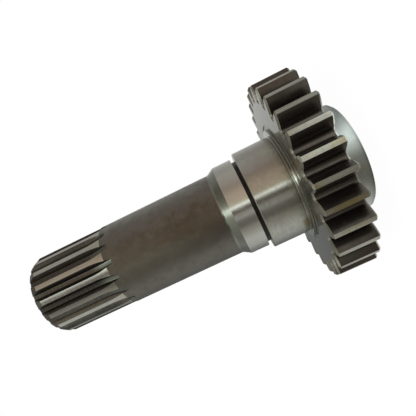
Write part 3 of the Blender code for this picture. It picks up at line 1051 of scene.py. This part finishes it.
def ground_seat():
    """The seats: ground to a fine grain, duller at the foot, with a dull place, a stain and painted
    shade in the undercut.
    """
    seat = Finish(
        "ground_seat",
        [(0.455, 0.445, 0.405, 1), (0.355, 0.335, 0.29, 1), (0.475, 0.465, 0.425, 1)],
        (0.09, 0.16), fineness=2600.0, depth=0.0002 * MM, marks=0.22,
    )
    grain = seat.streaks((0.4, 0.4, 1.0), 1300.0, 4.0, 0.7)
    seat.lay(grain, 0.4, (0.31, 0.295, 0.25, 1))
    collar = seat.band(GROOVE_TOP, COLLAR_TOP + MM)
    seat.lay(collar, 0.8, (0.52, 0.505, 0.46, 1))
    foot = seat.band(THRUST_FACE - 9.0 * MM, GROUND_BAND_BOTTOM + 4.5 * MM, softness=7.0 * MM)
    seat.lay(foot, 0.75, (0.285, 0.275, 0.225, 1))
    unground = seat.band(THRUST_FACE - 1.0 * MM, GROUND_BAND_BOTTOM)
    seat.lay(unground, 0.25, (0.34, 0.33, 0.25, 1))
    seat.roughen(unground, 0.09)
    dull = seat.spot(DULL_PLACE, 14.0 * MM)
    seat.lay(dull, 0.45, (0.33, 0.315, 0.275, 1))
    rusty = seat.spot(STAIN_CENTRE, 6.0 * MM, 2.0)
    seat.lay(rusty, 0.8, (0.17, 0.125, 0.055, 1))
    # Painted shade: a dark line in the undercut, left out on the side toward the camera
    undercut = seat.band(THRUST_FACE + UNDERCUT_FILLET, UNDERCUT_TOP - UNDERCUT_DEPTH)
    oil_and_painted_shade = seat.both(undercut, seat.outside(seat.spot(UNSHADED_UNDERCUT_PLACE, 19.0 * MM)))
    seat.lay(oil_and_painted_shade, 0.85, (0.06, 0.055, 0.045, 1))
    return seat.material


def gear_face():
    """The gear's turned faces and thrust ring, with painted shade in the ring's corner and painted
    highlights.
    """
    face = Finish(
        "turned_gear_face",
        [(0.115, 0.11, 0.096, 1), (0.085, 0.08, 0.068, 1), (0.13, 0.125, 0.11, 1)],
        (0.11, 0.16), across=1.0, fineness=1500.0, depth=0.0004 * MM, size=40.0, marks=0.05,
    )
    for low, high in (
        (SEAT_RADIUS, THRUST_RING_RADIUS - THRUST_RING_CHAMFER),
        (THRUST_RING_RADIUS - 0.1 * MM, THRUST_RING_RADIUS + 0.15 * MM),
    ):
        ring = face.band(low, high, softness=0.05 * MM, across=1.0)
        face.lay(ring, 0.6, (0.50, 0.49, 0.41, 1))
        face.roughen(ring, -0.06)
    # Painted highlight: a near-white spot on the thrust ring's face, in line with the strip light
    ring_highlight = face.spot(THRUST_RING_HIGHLIGHT_PLACE, 3.6 * MM)
    face.lay(ring_highlight, 1.0, (0.95, 0.96, 0.86, 1))
    recess_edge = RECESS_RADIUS - RECESS_DEPTH
    # Painted shade: a dark band in the corner round the ring, in the recess
    corner = face.band(THRUST_RING_RADIUS + 0.1 * MM, recess_edge, softness=0.15 * MM, across=1.0)
    face.lay(corner, 0.8, (0.03, 0.028, 0.024, 1))
    edge = face.band(recess_edge, RECESS_RADIUS + 0.05 * MM, softness=0.05 * MM, across=1.0)
    face.lay(edge, 1.0, (0.50, 0.49, 0.46, 1))
    # Painted highlight: near-white over the bare recess edge at one place
    bare = face.both(edge, face.spot(RECESS_EDGE_HIGHLIGHT_PLACE, 9.0 * MM))
    face.lay(bare, 1.0, (0.98, 0.97, 0.93, 1))
    face.roughen(edge, 0.65)
    return face.material


def dark_shank():
    """The shank's dull skin: long brown stains on one side, partly painted shade, and paler
    painted-light strips.
    """
    shank = Finish(
        "dark_shank",
        [(0.186, 0.177, 0.160, 1), (0.162, 0.140, 0.114, 1), (0.188, 0.178, 0.157, 1)],
        (0.40, 0.50), fineness=1500.0, size=34.0,
    )
    # Stains, partly painted shade, and strips of painted light
    for centre, reach, flatness, colour in SHANK_STAINS_AND_PAINTED_LIGHT:
        shank.lay(shank.spot(centre, reach, flatness), 0.8, colour)
    return shank.material


def tooth_tip():
    """The gear's ground tooth tips: streaked along each tooth and yellowed by oil in places."""
    tip = Finish(
        "bright_tooth_tip",
        [(0.44, 0.425, 0.365, 1), (0.33, 0.32, 0.28, 1), (0.46, 0.445, 0.385, 1)],
        (0.24, 0.34), fineness=2600.0, size=55.0, marks=0.1,
    )
    streaks = tip.streaks((1.0, 1.0, 0.02), 1400.0, 3.0, 0.55)
    tip.lay(streaks, 0.6, (0.27, 0.26, 0.225, 1))
    for centre, reach, strength in TIP_STAINS:
        tip.lay(tip.spot(centre, reach), strength, (0.30, 0.235, 0.10, 1))
    return tip.material


def tooth_chamfer():
    """The bare chamfers round the gear teeth: brightest on the hub's side, where some are oily."""
    chamfer = Finish(
        "bare_tooth_chamfer",
        [(0.33, 0.315, 0.26, 1), (0.22, 0.20, 0.16, 1), (0.37, 0.355, 0.30, 1)],
        (0.26, 0.38), size=90.0,
    )
    lower = chamfer.band(GEAR_BOTTOM - MM, GEAR_BOTTOM + MM)
    chamfer.lay(lower, 1.0, (0.58, 0.57, 0.53, 1))
    oil_and_painted_shade = chamfer.both(lower, chamfer.spot(OILY_CHAMFERS, 29.0 * MM))
    chamfer.lay(oil_and_painted_shade, 1.0, (0.05, 0.042, 0.035, 1))
    return chamfer.material


def tooth_flank():
    """The gear teeth's flanks and roots, dark with oil and browner on some teeth."""
    flank = Finish(
        "dark_tooth_flank",
        [(0.094, 0.082, 0.073, 1), (0.078, 0.064, 0.054, 1), (0.098, 0.086, 0.076, 1)],
        (0.28, 0.34), fineness=1800.0, size=40.0, marks=0.03,
    )
    brown = flank.spot(BROWN_TEETH, 17.0 * MM, 0.5)
    flank.lay(brown, 0.85, (0.052, 0.038, 0.029, 1))
    return flank.material


def spline_crest():
    """The spline's ground crests, yellowed where they end."""
    crest = Finish(
        "spline_crest",
        [(0.47, 0.46, 0.42, 1), (0.38, 0.36, 0.315, 1), (0.50, 0.49, 0.45, 1)],
        (0.14, 0.20), fineness=3200.0, size=70.0, marks=0.1,
    )
    ends = crest.band(SPLINE_BOTTOM - 6.0 * MM, SPLINE_BOTTOM + 7.0 * MM, softness=5.0 * MM)
    crest.lay(ends, 0.35, (0.42, 0.39, 0.28, 1))
    return crest.material


def spline_root_floor():
    """The spline's groove floors: cleaner where the hob ran out, with painted light there and in a few
    grooves.
    """
    groove = Finish(
        "spline_root_floor",
        [(0.095, 0.086, 0.07, 1), (0.06, 0.054, 0.045, 1), (0.12, 0.11, 0.095, 1)],
        (0.26, 0.38), fineness=900.0, depth=0.001 * MM, size=90.0,
    )
    # Lighter where the hob ran out: a cleaner floor, and painted light on the run-out tips
    run_out = groove.band(RUN_OUT_END - 10.0 * MM, SPLINE_FULL_DEPTH + MM, softness=7.5 * MM)
    groove.lay(run_out, 1.0, (0.155, 0.165, 0.145, 1))
    # Painted light in a few grooves on the lower side
    painted_groove_light = groove.spot(GROOVE_LIGHT_PLACE, 9.0 * MM, 0.25)
    groove.lay(painted_groove_light, 0.6, (0.19, 0.185, 0.165, 1))
    return groove.material


def dark_spline_flank():
    """The sides of the spline's teeth: black with oil, with painted light in a few grooves."""
    flank = Finish(
        "dark_spline_flank",
        [(0.070, 0.060, 0.051, 1), (0.044, 0.037, 0.031, 1), (0.080, 0.070, 0.060, 1)],
        (0.28, 0.40), fineness=1500.0, size=90.0,
    )
    # Painted light in a few grooves on the lower side
    painted_groove_light = flank.spot(GROOVE_LIGHT_PLACE, 9.0 * MM, 0.25)
    flank.lay(painted_groove_light, 0.55, (0.19, 0.185, 0.165, 1))
    return flank.material


def shaft_materials():
    """The finishes, in the order of their names."""
    made = {
        "dark_shank": dark_shank(),
        "ground_seat": ground_seat(),
        "turned_gear_face": gear_face(),
        "bright_tooth_tip": tooth_tip(),
        "bare_tooth_chamfer": tooth_chamfer(),
        "dark_tooth_flank": tooth_flank(),
        "spline_crest": spline_crest(),
        "spline_root_floor": spline_root_floor(),
        "dark_spline_flank": dark_spline_flank(),
    }
    for name, values in PLAIN_FINISHES.items():
        made[name] = Finish(name, **values).material
    return [made[name] for name in FINISHES]


def dress(piece):
    """Give each face of the shaft the finish of its place."""
    piece.data.materials.clear()
    for material in shaft_materials():
        piece.data.materials.append(material)
    for face in piece.data.polygons:
        face.material_index = FINISHES.index(finish_at(face.center, face.normal))


def colours_round(tree, place, stops):
    """Colours that change with the angle round the shaft from the camera, and the place's height."""
    faced = tree.nodes.new("ShaderNodeMapping")
    tree.links.new(place, faced.inputs["Vector"])
    faced.inputs["Rotation"].default_value = (0.0, 0.0, -CAMERA_AZIMUTH)
    parts = tree.nodes.new("ShaderNodeSeparateXYZ")
    tree.links.new(faced.outputs[0], parts.inputs[0])
    angle = sums(tree, "ARCTAN2", parts.outputs["Y"], parts.outputs["X"])
    colours = tree.nodes.new("ShaderNodeValToRGB")
    tree.links.new(sums(tree, "MULTIPLY_ADD", angle, 0.5 / math.pi, 0.5), colours.inputs["Fac"])
    ramp = colours.color_ramp
    ramp.elements[0].color = (*stops[0][1:], 1)
    ramp.elements[-1].color = (*stops[-1][1:], 1)
    for degrees, red, green, blue in stops[1:-1]:
        ramp.elements.new(0.5 + degrees / 360.0).color = (red, green, blue, 1)
    return colours.outputs["Color"], parts.outputs["Z"]


def seen_directly(tree, ray):
    """The mask of what the camera sees, straight or through something clear."""
    return sums(tree, "MAXIMUM", ray["Is Camera Ray"], ray["Is Transmission Ray"])


def studio_walls():
    """White walls for the camera. Steel mirrors a lit strip, warm and grey walls and a ceiling."""
    world = bpy.data.worlds.new("studio")
    bpy.context.scene.world = world
    world.use_nodes = True
    tree = world.node_tree
    place = tree.nodes.new("ShaderNodeTexCoord").outputs["Generated"]
    walls, rise = colours_round(tree, place, WALL_COLOURS)
    ceiling = colours_round(tree, place, CEILING_COLOURS)[0]
    above = mixed(tree, ranged(tree, rise, *ZENITH_RISE), ceiling, ZENITH_COLOUR)
    seen_by_steel = mixed(tree, ranged(tree, rise, *CEILING_RISE), walls, above)
    ray = tree.nodes.new("ShaderNodeLightPath").outputs
    soft = mixed(tree, ray["Is Glossy Ray"], WALL_GLOW, seen_by_steel)
    colour = mixed(tree, seen_directly(tree, ray), soft, WHITE)
    tree.links.new(colour, tree.nodes["Background"].inputs["Color"])
    tree.nodes["Background"].inputs["Strength"].default_value = 1.0


def floor():
    """The pale floor: near white to the camera, with the shaft's soft shadow and a pool of light."""
    bpy.ops.object.select_all(action="DESELECT")
    bpy.ops.mesh.primitive_plane_add(size=FLOOR_SIZE, location=(0.0, 0.0, 0.0))
    plane = bpy.context.object
    plane.name = "pale_floor"
    material, tree, shader = new_material("pale_floor")
    shader.inputs["Base Color"].default_value = FLOOR_COLOUR
    shader.inputs["Roughness"].default_value = FLOOR_ROUGHNESS
    place = tree.nodes.new("ShaderNodeTexCoord").outputs["Object"]
    pool = colours_round(tree, place, FLOOR_COLOURS)[0]
    outer = colours_round(tree, place, FAR_FLOOR_COLOURS)[0]
    distance = distance_from_middle(tree, place)
    shade = ranged(tree, distance, *CONTACT_SHADE, CONTACT_DARKNESS, 0.0)
    near = mixed(tree, shade, pool, BLACK)
    mirrored = mixed(tree, ranged(tree, distance, *POOL_EDGE), near, outer)
    ray = tree.nodes.new("ShaderNodeLightPath").outputs
    glow = tree.nodes.new("ShaderNodeEmission")
    glow.inputs["Strength"].default_value = FLOOR_GLOW
    tree.links.new(mixed(tree, ray["Is Glossy Ray"], WHITE, mirrored), glow.inputs["Color"])
    share = sums(tree, "MULTIPLY", seen_directly(tree, ray), FLOOR_GLOW_SHARE)
    blend = tree.nodes.new("ShaderNodeMixShader")
    tree.links.new(sums(tree, "MAXIMUM", share, ray["Is Glossy Ray"]), blend.inputs["Fac"])
    tree.links.new(shader.outputs[0], blend.inputs[1])
    tree.links.new(glow.outputs[0], blend.inputs[2])
    tree.links.new(blend.outputs[0], tree.nodes["Material Output"].inputs["Surface"])
    plane.data.materials.append(material)


def soft_light(name, degrees, distance, height, size, strength, colour):
    """A rectangular soft light at an angle round from the camera, facing the shaft."""
    data = bpy.data.lights.new(name, "AREA")
    data.shape = "RECTANGLE"
    data.size, data.size_y = size
    data.energy = strength * math.pi * size[0] * size[1]
    data.color = colour
    lamp = bpy.data.objects.new(name, data)
    bpy.context.scene.collection.objects.link(lamp)
    x, y = polar(distance, CAMERA_AZIMUTH + math.radians(degrees))
    lamp.location = (x, y, height)
    lamp.visible_glossy = False
    facing = Vector((0.0, 0.0, LIGHT_AIM_HEIGHT)) - lamp.location
    lamp.rotation_euler = facing.to_track_quat("-Z", "Y").to_euler()


EFFECTS = {
    "lines": turning_lines(),
    "mottling": mottling(),
    "scratches": scratches(),
    "band": band_round(),
    "stain": stain(),
}

shaft = shaft_piece()
dress(shaft)
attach(shaft, "root")
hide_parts("gear_shaft")

floor()
studio_walls()
for light in SOFT_LIGHTS:
    soft_light(*light)
camera()
bpy.context.scene.view_settings.view_transform = "Standard"
